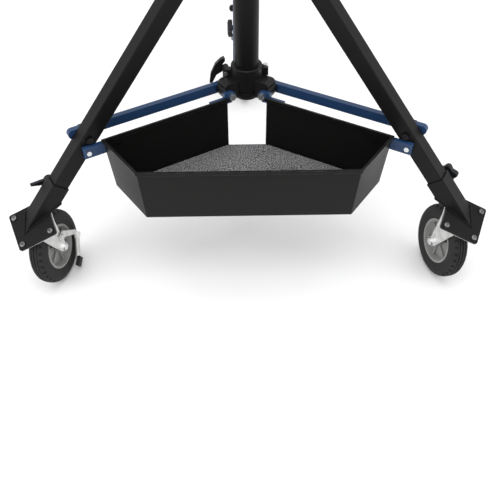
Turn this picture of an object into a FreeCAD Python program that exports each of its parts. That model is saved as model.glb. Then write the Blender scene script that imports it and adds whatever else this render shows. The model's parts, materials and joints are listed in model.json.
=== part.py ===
import FreeCAD, Part
import math
import os
import re
import Sketcher
from FreeCAD import Placement, Rotation, Vector

# Wheeled studio stand with a sandbag tray. Millimetres, +Z up, floor at z = 0, mast on the Z axis.
# Each leg has its own frame: x outward along the floor, y sideways, z up. A leg's "front" side is +1
# or -1 times y, so the left leg is the mirror image of the right one.

os.makedirs("parts", exist_ok=True)
doc = FreeCAD.newDocument("tray_stand")

# ---------------------------------------------------------------- driving dimensions
SIZES = [
    ("mast_dia", 63.5, "mast tube, outside diameter"),
    ("mast_wall", 3, "mast tube wall"),
    ("mast_over", 174, "mast tube's upper end above the crown's pins"),
    ("riser_gap", 0.3, "radial gap between riser and mast"),
    ("riser_wall", 2.5, "riser tube wall"),
    ("riser_foot", 480, "height of the riser's lower end when nested"),
    ("riser_over", 60, "nested riser's upper end above the mast's"),
    ("receiver_more", 0.5, "top receiver's diameter beyond the mast's"),
    ("receiver_tall", 74, "top receiver, height"),
    ("spigot_bore", 28.8, "receiver bore for a 28.6 mm spigot"),
    ("spigot_depth", 66, "depth of that bore"),
    ("leg_wide", 40, "square leg tube, outside"),
    ("leg_wall", 2.5, "leg tube wall"),
    ("leg_lean", 42, "leg angle from vertical, degrees"),
    ("arm_reach", 453, "mast axis to the arm bolt on the leg"),
    ("arm_level", 406, "height of the spreader arms"),
    ("arm_tall", 25, "spreader bar height"),
    ("arm_thick", 15, "spreader bar thickness"),
    ("arm_over", 26, "spreader bar's round end beyond the bolt on the leg"),
    ("arm_gap", 1, "gap between a bar and the leg or lug beside it"),
    ("lug_reach", 64, "mast axis to the bolt through the collar lug"),
    ("collar_wall", 9.75, "collar body's wall round the mast"),
    ("collar_below", 28, "collar's lower end below the arms"),
    ("collar_above", 61, "collar's upper end above the arms"),
    ("pin_dia", 12, "pivot bolts"),
    ("crown_reach", 75, "mast axis to the leg pins in the crown"),
    ("cheek_thick", 6, "crown cheeks"),
    ("sleeve_wall", 2.5, "foot sleeve wall"),
    ("sleeve_gap", 0.5, "gap between leg and sleeve"),
    ("sleeve_top", 300, "height of the sleeve's open end, on the leg axis"),
    ("knob_level", 285, "height of the foot knob, on the leg axis"),
    ("plate_wide", 104, "caster plate, square"),
    ("plate_thick", 6, "caster plate thickness"),
    ("plate_out", 18, "caster plate centre beyond the leg axis"),
    ("plate_lift", 6, "leg end clear of the caster plate"),
    ("plate_front", 17, "front casters: plate centre ahead of the leg axis"),
    ("plate_tilt", 30, "caster plate tilt, degrees"),
    ("plate_swing", 36, "front casters: direction of that tilt, from outward toward the front"),
    ("plate_turn", 46, "front casters: plate turned about its own normal"),
    ("fork_turn", 12, "front casters: fork turned about the kingpin"),
    ("flange_thick", 4, "zinc caster flange"),
    ("race_dia", 64, "swivel race diameter"),
    ("race_tall", 6, "swivel race height"),
    ("fork_thick", 4, "fork sheet"),
    ("fork_gap", 0.4, "running gap under the race"),
    ("fork_room", 4, "gap between tyre and fork cheek"),
    ("fork_over", 23, "caster plate face to the axle, beyond the tyre's radius"),
    ("trail", 20, "kingpin axis to the axle"),
    ("wheel_dia", 200, "tyre diameter"),
    ("tyre_thick", 42, "tyre section"),
    ("tyre_seat", 3, "rim's reach into the tyre's ring"),
    ("rim_wide", 38, "rim width"),
    ("axle_dia", 12, "wheel axle"),
    ("tray_mouth", 55, "half the open gap at the tray's mast end"),
    ("tray_half", 352, "half the tray's greatest width"),
    ("tray_nose", 258, "half the front wall's width"),
    ("tray_front", 371, "mast axis to the front wall"),
    ("rim_over", 1, "tray's rim above the arms' centre line"),
    ("tray_deep", 150, "tray depth"),
    ("tray_flare", 12, "how far front and corner walls lean out"),
    ("tray_sheet", 2, "tray sheet"),
    ("rim_fold", 9, "height of the hem round the rim"),
    ("mat_thick", 4, "floor lining"),
    ("mat_gap", 3, "lining clear of the walls"),
    ("bracket_thick", 12, "tray bracket"),
    ("bracket_tall", 29, "tray bracket height"),
    ("bracket_drop", 26, "outer bracket bolt below the arms"),
    ("bracket_back", 12, "outer bracket bolt beyond the arm bolt"),
    ("bracket_lap", 44, "bracket length behind the tray wall"),
    ("screw_dia", 6, "tray screws"),
    ("lever_reach", 56, "mast axis to the clamp lever's pin"),
    ("lever_over", 38, "that pin above the arms"),
    ("lever_thick", 14, "clamp lever"),
    ("bolt_dia", 8, "small bolts"),
]
sheet = doc.addObject("Spreadsheet::Sheet", "Sizes")
for row, (alias, number, note) in enumerate(SIZES, start=1):
    sheet.set(f"A{row}", note)
    sheet.set(f"B{row}", str(number))
    sheet.setAlias(f"B{row}", alias)
doc.recompute()

# Sizes that follow from the ones above
FOLLOWS = {
    "crown_level": "(arm_level + (arm_reach - crown_reach)/tan(leg_lean*1deg))",
    "mast_top": "(crown_level + mast_over)",
    "riser_top": "(mast_top + riser_over)",
    "receiver_dia": "(mast_dia + receiver_more)",
    "collar_dia": "(mast_dia + 2*collar_wall)",
    "collar_low": "(arm_level - collar_below)",
    "collar_high": "(arm_level + collar_above)",
    "lever_level": "(arm_level + lever_over)",
    "tray_rim": "(arm_level + rim_over)",
    "tray_gap": "(leg_wide/2 + arm_gap + bracket_thick)",
    "rim_dia": "(wheel_dia - 2*tyre_thick + 2*tyre_seat)",
    "fork_drop": "(wheel_dia/2 + fork_over)",
}
NAMES = re.compile(r"\b(" + "|".join(alias for alias, _, _ in SIZES) + r")\b")
FOLLOWERS = re.compile(r"\b(" + "|".join(FOLLOWS) + r")\b")
nodes = {}


def bind(text):
    """Short formula in sheet names -> FreeCAD expression."""
    text = str(text)
    while FOLLOWERS.search(text):
        text = FOLLOWERS.sub(lambda found: FOLLOWS[found[0]], text)
    return NAMES.sub(r"Sizes.\1", text)


def size(text):
    """The number that a short formula gives."""
    return float(sheet.evalExpression(bind(text)))


def node(name, thing, place=Placement()):
    """Name a finished sub-part and put it in its place."""
    thing.Label = name
    thing.Placement = place
    nodes[name] = thing
    return thing


# ---------------------------------------------------------------- primitives bound to the sheet
def drive(thing, **formulas):
    for prop, text in formulas.items():
        thing.setExpression(prop.replace("_", "."), bind(text))
    return thing


def anchor(thing, x, y, z):
    for axis, text in zip("xyz", (x, y, z)):
        thing.setExpression(f"Placement.Base.{axis}", bind(text))
    return thing


def block(name, x, y, z):
    """Box between two formulas on each axis."""
    thing = doc.addObject("Part::Box", name)
    sides = {"Length": x, "Width": y, "Height": z}
    drive(thing, **{prop: f"({high}) - ({low})" for prop, (low, high) in sides.items()})
    return anchor(thing, x[0], y[0], z[0])


TURN = {"x": Rotation(Vector(0, 1, 0), 90), "y": Rotation(Vector(1, 0, 0), -90), "z": Rotation()}


def rod(name, radius, along, span, x="0", y="0", z="0"):
    """Cylinder along an axis, between two formulas on that axis."""
    thing = doc.addObject("Part::Cylinder", name)
    thing.Placement.Rotation = TURN[along]
    drive(thing, Radius=radius, Height=f"({span[1]}) - ({span[0]})")
    start = {"x": x, "y": y, "z": z, along: span[0]}
    return anchor(thing, start["x"], start["y"], start["z"])


def hexagon(name, radius, along, span, x="0", y="0", z="0"):
    """Hexagonal prism, such as a bolt head or a nut."""
    thing = doc.addObject("Part::Prism", name)
    thing.Polygon = 6
    thing.Placement.Rotation = TURN[along]
    drive(thing, Circumradius=radius, Height=f"({span[1]}) - ({span[0]})")
    start = {"x": x, "y": y, "z": z, along: span[0]}
    return anchor(thing, start["x"], start["y"], start["z"])


def fuse(name, things):
    thing = doc.addObject("Part::MultiFuse", name)
    thing.Shapes = things
    thing.Refine = False
    return thing


def cut(name, base, tool):
    thing = doc.addObject("Part::Cut", name)
    thing.Base = base
    thing.Tool = tool
    return thing


def group(name, things):
    """Separate solids that share one node."""
    thing = doc.addObject("Part::Compound", name)
    thing.Links = things
    return thing


def round_edges(name, base, radius, edges=(1, 3, 5, 7)):
    """Round a box's four upright edges."""
    thing = doc.addObject("Part::Fillet", name)
    thing.Base = base
    thing.Edges = [(edge, radius, radius) for edge in edges]
    return thing


# ---------------------------------------------------------------- PartDesign bodies
def new_body(name):
    return doc.addObject("PartDesign::Body", name)


def outline(body, name, role, points):
    """Closed polygon sketch on an origin plane; each corner is held by two formulas."""
    sketch = body.newObject("Sketcher::SketchObject", name)
    plane = next(item for item in body.Origin.OriginFeatures if item.Role == role)
    sketch.AttachmentSupport = (plane, [""])
    sketch.MapMode = "FlatFace"
    places = [Vector(size(x), size(y), 0) for x, y in points]
    count = len(places)
    for i in range(count):
        sketch.addGeometry(Part.LineSegment(places[i], places[(i + 1) % count]))
    for i in range(count):
        sketch.addConstraint(Sketcher.Constraint("Coincident", i, 2, (i + 1) % count, 1))
    for i, (x, y) in enumerate(points):
        for kind, axis, text in (("DistanceX", -2, x), ("DistanceY", -1, y)):
            if text == "0":
                sketch.addConstraint(Sketcher.Constraint("PointOnObject", i, 1, axis))
                continue
            row = sketch.addConstraint(Sketcher.Constraint(kind, -1, 1, i, 1, size(text)))
            sketch.setExpression(f"Constraints[{row}]", bind(text))
    return sketch


def ring(body, name, role, radius, x="0", y="0"):
    """Circle sketch on an origin plane."""
    sketch = body.newObject("Sketcher::SketchObject", name)
    plane = next(item for item in body.Origin.OriginFeatures if item.Role == role)
    sketch.AttachmentSupport = (plane, [""])
    sketch.MapMode = "FlatFace"
    centre = Vector(size(x), size(y), 0)
    sketch.addGeometry(Part.Circle(centre, Vector(0, 0, 1), size(radius)))
    row = sketch.addConstraint(Sketcher.Constraint("Radius", 0, size(radius)))
    sketch.setExpression(f"Constraints[{row}]", bind(radius))
    for kind, axis, text in (("DistanceX", -2, x), ("DistanceY", -1, y)):
        if text == "0":
            sketch.addConstraint(Sketcher.Constraint("PointOnObject", 0, 3, axis))
            continue
        row = sketch.addConstraint(Sketcher.Constraint(kind, -1, 1, 0, 3, size(text)))
        sketch.setExpression(f"Constraints[{row}]", bind(text))
    return sketch


def pad(body, sketch, length):
    feature = body.newObject("PartDesign::Pad", sketch.Name + "_pad")
    feature.Profile = sketch
    feature.SideType = "Symmetric"
    feature.setExpression("Length", bind(length))
    return feature


def pocket(body, sketch, length):
    feature = body.newObject("PartDesign::Pocket", sketch.Name + "_pocket")
    feature.Profile = sketch
    feature.SideType = "Symmetric"
    feature.setExpression("Length", bind(length))
    return feature


def revolve(body, sketch):
    """Full turn about the body's Z axis of a profile drawn on its XZ plane."""
    feature = body.newObject("PartDesign::Revolution", sketch.Name + "_turn")
    feature.Profile = sketch
    feature.ReferenceAxis = (sketch, ["V_Axis"])
    feature.Angle = 360
    return feature


def turned(name, profile):
    """Body of revolution about Z from (radius, height) formulas."""
    body = new_body(name)
    revolve(body, outline(body, name + "_profile", "XZ_Plane", profile))
    return body


# ---------------------------------------------------------------- frames
LEGS = {"left": (210, 1), "right": (330, -1), "rear": (90, -1)}
LEAN = math.radians(size("leg_lean"))


def leg_frame(leg):
    return Placement(Vector(), Rotation(Vector(0, 0, 1), LEGS[leg][0]))


def leg_line():
    """Frame on the leg axis at the arm bolt: z runs up the leg, x is the leg's outer face normal."""
    return Placement(Vector(size("arm_reach"), 0, size("arm_level")),
                     Rotation(Vector(0, 1, 0), -size("leg_lean")))


def up_leg(height):
    """Distance along the leg axis, from the arm bolt, of a height above the floor."""
    return (size(height) - size("arm_level")) / math.cos(LEAN)


def caster_angles(leg):
    """Tilt direction, plate turn and fork turn; the rear caster stands straight behind its leg."""
    front = LEGS[leg][1]
    if leg == "rear":
        return 0.0, 0.0, 0.0
    return tuple(front * size(name) for name in ("plate_swing", "plate_turn", "fork_turn"))


def spin(angle):
    return Placement(Vector(), Rotation(Vector(0, 0, 1), angle))


def caster_frame(leg):
    """Frame at the centre of the caster plate's face: z is the plate normal, x points downhill.

    Its height is whatever stands the tyre on the floor.
    """
    swing, _, turn = caster_angles(leg)
    frame = spin(swing).multiply(Placement(Vector(), Rotation(Vector(0, 1, 0), size("plate_tilt"))))
    heading = frame.multiply(spin(turn)).Rotation
    axle = heading.multVec(Vector(0, 1, 0))
    drop = heading.multVec(Vector(size("trail"), 0, -size("fork_drop")))
    ring_radius = size("wheel_dia - tyre_thick") / 2
    hub_height = ring_radius * math.sqrt(1 - axle.z ** 2) + size("tyre_thick") / 2
    height = hub_height - drop.z
    reach = size("arm_reach") + (size("arm_level") - height) * math.tan(LEAN) + size("plate_out")
    side = 0.0 if leg == "rear" else LEGS[leg][1] * size("plate_front")
    frame.Base = Vector(reach, side, height)
    return frame


def fork_frame(leg):
    return caster_frame(leg).multiply(spin(caster_angles(leg)[2]))


def wheel_frame(leg):
    """Frame at the wheel's centre with z along the axle."""
    hub = Placement(Vector(size("trail"), 0, -size("fork_drop")), Rotation(Vector(1, 0, 0), -90))
    return fork_frame(leg).multiply(hub)


# ---------------------------------------------------------------- mast, riser and receiver
MAST_BORE = "mast_dia/2 - mast_wall"


def make_mast():
    node("mast_tube", turned("mast", [
        (MAST_BORE, "collar_low + 12"), ("mast_dia/2", "collar_low + 12"),
        ("mast_dia/2", "mast_top"), (MAST_BORE, "mast_top")]))
    outer = f"{MAST_BORE} - riser_gap"
    node("riser_tube", turned("riser", [
        (f"{outer} - riser_wall", "riser_foot"), (outer, "riser_foot"),
        (outer, "riser_top"), (f"{outer} - riser_wall", "riser_top")]))


def make_receiver():
    """Casting on the riser with a blind bore for a spigot, and a boss for its clamp knob."""
    outer = f"{MAST_BORE} - riser_gap"
    top = "riser_top + receiver_tall"
    core = turned("receiver_core", [
        (f"{outer} - riser_wall", "riser_top"), (outer, "riser_top"),
        ("receiver_dia/2 - 4", "riser_top + 4"),
        ("receiver_dia/2 - 4", "riser_top + 14"), ("receiver_dia/2", "riser_top + 20"),
        ("receiver_dia/2", f"{top} - 3"), ("receiver_dia/2 - 3", top), ("spigot_bore/2 + 2", top),
        ("spigot_bore/2", f"{top} - 2"), ("spigot_bore/2", f"{top} - spigot_depth"),
        ("0", f"{top} - spigot_depth"), ("0", "riser_top + 2"), (f"{outer} - riser_wall", "riser_top + 2")])
    boss = rod("receiver_boss", "11", "x", ("spigot_bore/2 + 4", "receiver_dia/2 + 10"), z=f"{top} - 34")
    hole = rod("receiver_hole", "bolt_dia/2 + 0.4", "x", ("0", "receiver_dia"), z=f"{top} - 34")
    node("receiver", cut("receiver_part", fuse("receiver_solid", [core, boss]), hole))


def make_mast_clamp():
    """Ring clamped on the mast's upper end, with a boss for the riser knob."""
    core = turned("mast_clamp_core", [
        ("mast_dia/2", "mast_top - 46"), ("mast_dia/2 + 7", "mast_top - 46"),
        ("mast_dia/2 + 10", "mast_top - 42"), ("mast_dia/2 + 10", "mast_top + 4"),
        ("mast_dia/2 + 7", "mast_top + 8"), (f"{MAST_BORE} + 0.3", "mast_top + 8"),
        (f"{MAST_BORE} + 0.3", "mast_top"), ("mast_dia/2", "mast_top")])
    boss = rod("mast_clamp_boss", "12", "x", ("mast_dia/2 + 2", "mast_dia/2 + 22"), z="mast_top - 20")
    hole = rod("mast_clamp_hole", "bolt_dia/2 + 0.4", "x", ("mast_dia/2 - 1", "mast_dia"), z="mast_top - 20")
    node("mast_clamp", cut("mast_clamp_part", fuse("mast_clamp_solid", [core, boss]), hole))


def star_knob(name, place, stud):
    """Five-lobed knob with its threaded stud along -z; the origin is the knob's inner face."""
    core = turned(name + "_core", [
        ("0", f"-({stud})"), ("bolt_dia/2", f"-({stud})"), ("bolt_dia/2", "-5"), ("9", "-5"), ("9", "0"),
        ("28", "0"), ("30", "2"), ("30", "13"), ("27", "16"), ("16", "18"), ("0", "18")])
    scallops = [rod(f"{name}_scallop{i}", "13", "z", ("-1", "19"),
                    x=str(round(36 * math.cos(math.radians(36 + 72 * i)), 4)),
                    y=str(round(36 * math.sin(math.radians(36 + 72 * i)), 4))) for i in range(5)]
    node(name, cut(name + "_solid", core, group(name + "_scallops", scallops)), place)


# ---------------------------------------------------------------- shared pieces
LEG_HALF = "leg_wide/2"
ARM_MID = f"{LEG_HALF} + arm_gap + arm_thick/2"
CROWN_LEVEL = "crown_level"


def bolt(name, radius, head_at, nut_at, x, z):
    """Hex bolt along y; the head sits outside head_at and the nut outside nut_at."""
    sign = 1 if size(head_at) > size(nut_at) else -1
    order = (lambda low, high: (low, high)) if sign > 0 else (lambda low, high: (high, low))
    head = hexagon(name + "_head", f"{radius}*1.7", "y",
                   order(head_at, f"{head_at} + {sign}*{radius}"), x=x, z=z)
    nut = hexagon(name + "_nut", f"{radius}*1.7", "y",
                  order(f"{nut_at} - {sign}*{radius}*1.4", nut_at), x=x, z=z)
    shank = rod(name + "_shank", radius, "y",
                order(f"{nut_at} - {sign}*{radius}*1.9", head_at), x=x, z=z)
    return fuse(name, [head, nut, shank])


def bore(name, radius, x, z, reach="90"):
    return rod(name, f"{radius} + 0.3", "y", (f"-({reach})", reach), x=x, z=z)


def placed(name, thing, place):
    """A copy-free holder that moves a finished piece."""
    holder = group(name, [thing])
    holder.Placement = place
    return holder


# ---------------------------------------------------------------- crown
def make_crown():
    """Hub on the mast with a pair of cheeks for each leg."""
    hub = turned("crown_hub", [
        ("mast_dia/2", f"{CROWN_LEVEL} - 34"), ("mast_dia/2 + 8", f"{CROWN_LEVEL} - 34"),
        ("mast_dia/2 + 10", f"{CROWN_LEVEL} - 28"), ("mast_dia/2 + 10", f"{CROWN_LEVEL} + 30"),
        ("mast_dia/2 + 8", f"{CROWN_LEVEL} + 36"), ("mast_dia/2", f"{CROWN_LEVEL} + 36")])
    near = f"{LEG_HALF} + arm_gap"
    far = f"{near} + cheek_thick"
    pieces = [hub]
    bores = []
    for leg in LEGS:
        for side, span in (("a", (near, far)), ("b", (f"-({far})", f"-({near})"))):
            cheek = block(f"cheek_{leg}_{side}", ("mast_dia/2 - 5", "crown_reach"), span,
                          (f"{CROWN_LEVEL} - 20", f"{CROWN_LEVEL} + 20"))
            nose = rod(f"nose_{leg}_{side}", "20", "y", span, x="crown_reach", z=CROWN_LEVEL)
            ear = fuse(f"ear_{leg}_{side}", [cheek, nose])
            ear.Placement = leg_frame(leg)
            pieces.append(ear)
        hole = bore(f"crown_bore_{leg}", "pin_dia/2", "crown_reach", CROWN_LEVEL)
        bores.append(placed(f"crown_bore_at_{leg}", hole, leg_frame(leg)))
    node("crown", cut("crown_part", fuse("crown_solid", pieces), group("crown_bores", bores)))


def make_crown_pins():
    seat = f"{LEG_HALF} + arm_gap + cheek_thick"
    pins = []
    for leg in LEGS:
        pin = bolt(f"crown_pin_{leg}", "pin_dia/2", seat, f"-({seat})", "crown_reach", CROWN_LEVEL)
        pin.Placement = leg_frame(leg)
        pins.append(pin)
    node("crown_pins", group("crown_pin_set", pins))


# ---------------------------------------------------------------- collar
COLLAR_PROFILE = [
    ("mast_dia/2", "collar_high"), ("collar_dia/2 - 2", "collar_high"), ("collar_dia/2", "collar_high - 2"),
    ("collar_dia/2", "collar_low + 29"), ("collar_dia/2 - 5", "collar_low + 27"),
    ("collar_dia/2 - 5", "collar_low + 21"), ("collar_dia/2 - 1", "collar_low + 19"),
    ("collar_dia/2 - 1", "collar_low + 11"), ("collar_dia/2 - 6", "collar_low + 9"),
    ("collar_dia/2 - 8", "collar_low"), ("18", "collar_low"), ("18", "collar_low + 12"),
    ("mast_dia/2", "collar_low + 12")]


def make_collar():
    """Ringed casting that closes the mast's foot and carries a lug for each leg's spreader."""
    core = turned("collar_core", COLLAR_PROFILE)
    side = (f"-({LEG_HALF})", LEG_HALF)
    pieces = [core]
    bores = []
    for leg in LEGS:
        web = block(f"lug_web_{leg}", ("mast_dia/2 + 4", "lug_reach"), side,
                    ("arm_level - 18", "arm_level + 30"))
        nose = rod(f"lug_nose_{leg}", "18", "y", side, x="lug_reach", z="arm_level")
        brow = rod(f"lug_brow_{leg}", "12", "y", side, x="lug_reach", z="arm_level + 18")
        lug = fuse(f"lug_{leg}", [web, nose, brow])
        lug.Placement = leg_frame(leg)
        pieces.append(lug)
        hole = bore(f"lug_bore_{leg}", "pin_dia/2", "lug_reach", "arm_level")
        bores.append(placed(f"lug_bore_at_{leg}", hole, leg_frame(leg)))
    pieces.append(block("boss_lever", ("-(lever_reach + 7)", "-(mast_dia/2 + 3)"), ("-9", "9"),
                        ("lever_level - 10", "lever_level + 10")))
    pieces.append(block("boss_screw", ("mast_dia/2 + 3", "collar_dia/2 + 16"), ("-2", "18"),
                        ("collar_high - 34", "collar_high - 12")))
    bores.append(rod("lever_bore", "bolt_dia/2 + 0.3", "y", ("-20", "20"),
                     x="-lever_reach", z="lever_level"))
    bores.append(rod("screw_bore", "bolt_dia/2 + 0.3", "z", ("collar_high - 40", "collar_high"),
                     x="collar_dia/2 + 8", y="8"))
    node("collar", cut("collar_part", fuse("collar_solid", pieces), group("collar_bores", bores)))


def make_clamp():
    """Curved clamp lever behind its boss on the collar, its pin, and the clamp's screw across from it."""
    lever = new_body("clamp_lever_body")
    claw = [("-8", "-6"), ("-24", "-16"), ("-36", "-40"), ("-44", "-40"), ("-40", "-14"), ("-28", "12"),
            ("-14", "27"), ("-4", "32"), ("0", "24"), ("-6", "16"), ("-8", "6")]
    pad(lever, outline(lever, "lever_claw", "XZ_Plane", claw), "lever_thick")
    pad(lever, ring(lever, "lever_hub", "XZ_Plane", "9"), "lever_thick")
    pocket(lever, ring(lever, "lever_eye", "XZ_Plane", "bolt_dia/2 + 0.3"), "lever_thick + 2")
    middle = size("9 + 3 + lever_thick/2")
    pivot = Vector(-size("lever_reach"), middle, size("lever_level"))
    node("clamp_lever", lever, Placement(pivot, Rotation()))
    node("clamp_pin", bolt("clamp_pin_bolt", "bolt_dia/2", "-9", "9 + 3 + lever_thick + 0.5",
                           "-lever_reach", "lever_level"))
    spot = {"x": "collar_dia/2 + 8", "y": "8"}
    shank = rod("clamp_shank", "bolt_dia/2", "z", ("collar_high - 40", "collar_high - 11"), **spot)
    head = hexagon("clamp_head", "7", "z", ("collar_high - 12", "collar_high - 5"), **spot)
    tail = hexagon("clamp_tail", "7", "z", ("collar_high - 40", "collar_high - 34"), **spot)
    node("clamp_screw", fuse("clamp_screw_solid", [shank, head, tail]))


# ---------------------------------------------------------------- spreader arms
def make_bar(name, leg, side):
    """Blue bar beside a leg, bolted to lug and leg; its outer end runs past the leg."""
    near = f"{side}*({ARM_MID}) - arm_thick/2"
    span = (near, f"{near} + arm_thick")
    middle = block(name + "_web", ("lug_reach", "arm_reach + arm_over"), span,
                   ("arm_level - arm_tall/2", "arm_level + arm_tall/2"))
    ends = [rod(f"{name}_end_{x}", "arm_tall/2", "y", span, x=x, z="arm_level")
            for x in ("lug_reach", "arm_reach + arm_over")]
    holes = [bore(f"{name}_hole_{x}", "pin_dia/2", x, "arm_level") for x in ("lug_reach", "arm_reach")]
    whole = cut(name + "_part", fuse(name + "_solid", [middle] + ends), group(name + "_holes", holes))
    node(name, whole, leg_frame(leg))


def make_arms():
    """One bar behind each front leg, and a pair astride the rear leg."""
    for leg in ("left", "right"):
        make_bar(f"arm_{leg}", leg, -LEGS[leg][1])
    make_bar("rear_arm_left", "rear", 1)
    make_bar("rear_arm_right", "rear", -1)


def make_pivot_bolts():
    """Bolts through the collar lugs and through the legs, each set in one node."""
    beside = f"{LEG_HALF} + arm_gap + arm_thick"
    lugs, legs, crossing = [], [], []
    for leg, (_, front) in LEGS.items():
        head = f"{front}*({LEG_HALF} + arm_gap + bracket_thick)" if leg != "rear" else f"{front}*({beside})"
        nut = f"{-front}*({beside})"
        lugs.append(bolt(f"lug_bolt_{leg}", "pin_dia/2", head, nut, "lug_reach", "arm_level"))
        head = f"{front}*({LEG_HALF})" if leg != "rear" else f"{front}*({beside})"
        legs.append(bolt(f"leg_bolt_{leg}", "pin_dia/2", head, nut, "arm_reach", "arm_level"))
        lugs[-1].Placement = legs[-1].Placement = leg_frame(leg)
    node("lug_bolts", group("lug_bolt_set", lugs))
    node("leg_bolts", group("leg_bolt_set", legs))


# ---------------------------------------------------------------- legs and feet
def square_tube(name, wide, wall, low, high):
    """Square tube along z between two formulas."""
    half = f"({wide})/2"
    inner = f"({half} - ({wall}))"
    outside = round_edges(name + "_round", block(name + "_outside", (f"-{half}", half), (f"-{half}", half),
                          (low, high)), size(wall) + 0.5)
    inside = block(name + "_inside", (f"-{inner}", inner), (f"-{inner}", inner),
                   (f"({low}) - 1", f"({high}) + 1"))
    return cut(name, outside, inside)


def below_plate(name, leg, lift):
    """Slab that fills the space under the caster plate's face, raised by a clearance."""
    slab = block(name, ("-400", "400"), ("-400", "400"), ("-400", lift))
    return placed(name + "_holder", slab, leg_line().inverse().multiply(caster_frame(leg)))


def make_leg(leg):
    """Leg tube from the crown pin down into the foot, its lower end cut parallel to the caster plate."""
    run = f"((arm_reach - crown_reach)/sin(leg_lean*1deg))"
    tube = square_tube(f"leg_{leg}_tube", "leg_wide", "leg_wall", "-400", f"{run} + 16")
    holes = [below_plate(f"leg_{leg}_mitre", leg, "plate_lift"),
             bore(f"leg_{leg}_arm_hole", "pin_dia/2", "0", "0"),
             bore(f"leg_{leg}_crown_hole", "pin_dia/2", "0", run)]
    if leg != "rear":
        x, z = bracket_bolt_on_leg()
        holes.append(bore(f"leg_{leg}_bracket_hole", "bolt_dia/2", x, z))
    whole = cut(f"leg_{leg}_part", tube, fuse(f"leg_{leg}_holes", holes))
    node(f"leg_{leg}", whole, leg_frame(leg).multiply(leg_line()))


def sleeve_wide():
    return "leg_wide + 2*sleeve_gap + 2*sleeve_wall"


def knob_side(leg):
    return -LEGS[leg][1]


def make_foot(leg):
    """Sleeve that slips on the leg, mitred and welded to the square caster plate."""
    side = knob_side(leg)
    top = str(up_leg("sleeve_top"))
    level = str(up_leg("knob_level"))
    wide = sleeve_wide()
    tube = square_tube(f"sleeve_{leg}", wide, "sleeve_wall", "-400", top)
    sleeve = cut(f"sleeve_{leg}_cut", tube, below_plate(f"sleeve_{leg}_mitre", leg, "0"))
    edge = f"({wide})/2 - sleeve_wall/2"
    span = (edge, f"{edge} + 12") if side > 0 else (f"-({edge} + 12)", f"-({edge})")
    boss = rod(f"boss_{leg}", "12", "y", span, z=level)
    plate = round_edges(f"plate_{leg}", block(f"plate_{leg}_box", ("-plate_wide/2", "plate_wide/2"),
                        ("-plate_wide/2", "plate_wide/2"), ("-plate_thick", "0")), 6)
    turned_plate = caster_frame(leg).multiply(spin(-caster_angles(leg)[1]))
    plate.Placement = leg_line().inverse().multiply(turned_plate)
    drill = bore(f"knob_hole_{leg}", "bolt_dia/2", "0", level, reach="90")
    half_space = ("0", "100") if side > 0 else ("-100", "0")
    drill_side = block(f"knob_keep_{leg}", ("-30", "30"), half_space, ("-400", "0"))
    one_side = doc.addObject("Part::Common", f"knob_drill_{leg}")
    one_side.Base, one_side.Tool = drill, drill_side
    holes = [one_side]
    for i, (x, y) in enumerate(plate_corners("plate_wide")):
        hole = rod(f"plate_hole_{leg}_{i}", "bolt_dia/2 + 0.3", "z", ("-plate_thick - 4", "4"), x=x, y=y)
        holes.append(placed(f"plate_hole_at_{leg}_{i}", hole, plate.Placement))
    whole = cut(f"foot_{leg}_part", fuse(f"foot_{leg}_solid", [sleeve, boss, plate]),
                group(f"foot_{leg}_holes", holes))
    node(f"foot_{leg}", whole, leg_frame(leg).multiply(leg_line()))


def plate_corners(wide):
    """Places of the four plate bolts, in the plate's own frame."""
    inset = f"({wide}/2 - 13)"
    return [(f"{i}*{inset}", f"{j}*{inset}") for i in (-1, 1) for j in (-1, 1)]


def make_plate_bolts(leg):
    """Four silver bolts that hold the caster's flange under the plate."""
    frame = leg_frame(leg).multiply(caster_frame(leg)).multiply(spin(-caster_angles(leg)[1]))
    bolts = []
    for i, (x, y) in enumerate(plate_corners("plate_wide")):
        head = rod(f"plate_head_{leg}_{i}", "bolt_dia*0.85", "z", ("0", "4"), x=x, y=y)
        shank = rod(f"plate_shank_{leg}_{i}", "bolt_dia/2", "z",
                    ("-plate_thick - flange_thick - 5", "1"), x=x, y=y)
        nut = hexagon(f"plate_nut_{leg}_{i}", "bolt_dia*0.85", "z",
                      ("-plate_thick - flange_thick - 5", "-plate_thick - flange_thick"), x=x, y=y)
        bolts.append(fuse(f"plate_bolt_{leg}_{i}", [head, shank, nut]))
    node(f"plate_bolts_{leg}", group(f"plate_bolt_set_{leg}", bolts), frame)


def make_foot_knob(leg):
    """Star knob on a right or rear foot, pointed wing lever on the left one; z points away from the leg."""
    side = knob_side(leg)
    face = f"({sleeve_wide()})/2 + 12 - sleeve_wall/2 + 6"
    centre = leg_line().multVec(Vector(0, side * size(face), up_leg("knob_level")))
    # z of the knob's frame runs along the leg frame's y, and x along the leg's outer face normal
    turn = leg_line().Rotation.multiply(Rotation(Vector(1, 0, 0), -90 * side))
    place = leg_frame(leg).multiply(Placement(centre, turn))
    stud = f"{face} - ({LEG_HALF}) - 0.3"
    if leg == "left":
        wing_lever(f"foot_lever_{leg}", place.multiply(spin(-35)), stud)
    else:
        star_knob(f"foot_knob_{leg}", place, stud)


def wing_lever(name, place, stud):
    """Clamp lever with a tapered handle to one side of its hub."""
    body = new_body(name + "_body")
    handle = [("-8", "-8"), ("8", "-8"), ("48", "-2"), ("48", "2"), ("8", "8"), ("-8", "8")]
    pad(body, outline(body, name + "_handle", "XY_Plane", handle), "9")
    hub = rod(name + "_hub", "12", "z", ("-5", "10"))
    shaft = rod(name + "_stud", "bolt_dia/2", "z", (f"-({stud})", "1"))
    node(name, fuse(name + "_solid", [body, hub, shaft]), place)


# ---------------------------------------------------------------- casters
RACE_LOW = "(-plate_thick - flange_thick - race_tall)"
CROWN_TOP = f"({RACE_LOW} - fork_gap)"
CHEEK_IN = "(tyre_thick/2 + fork_room)"


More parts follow.
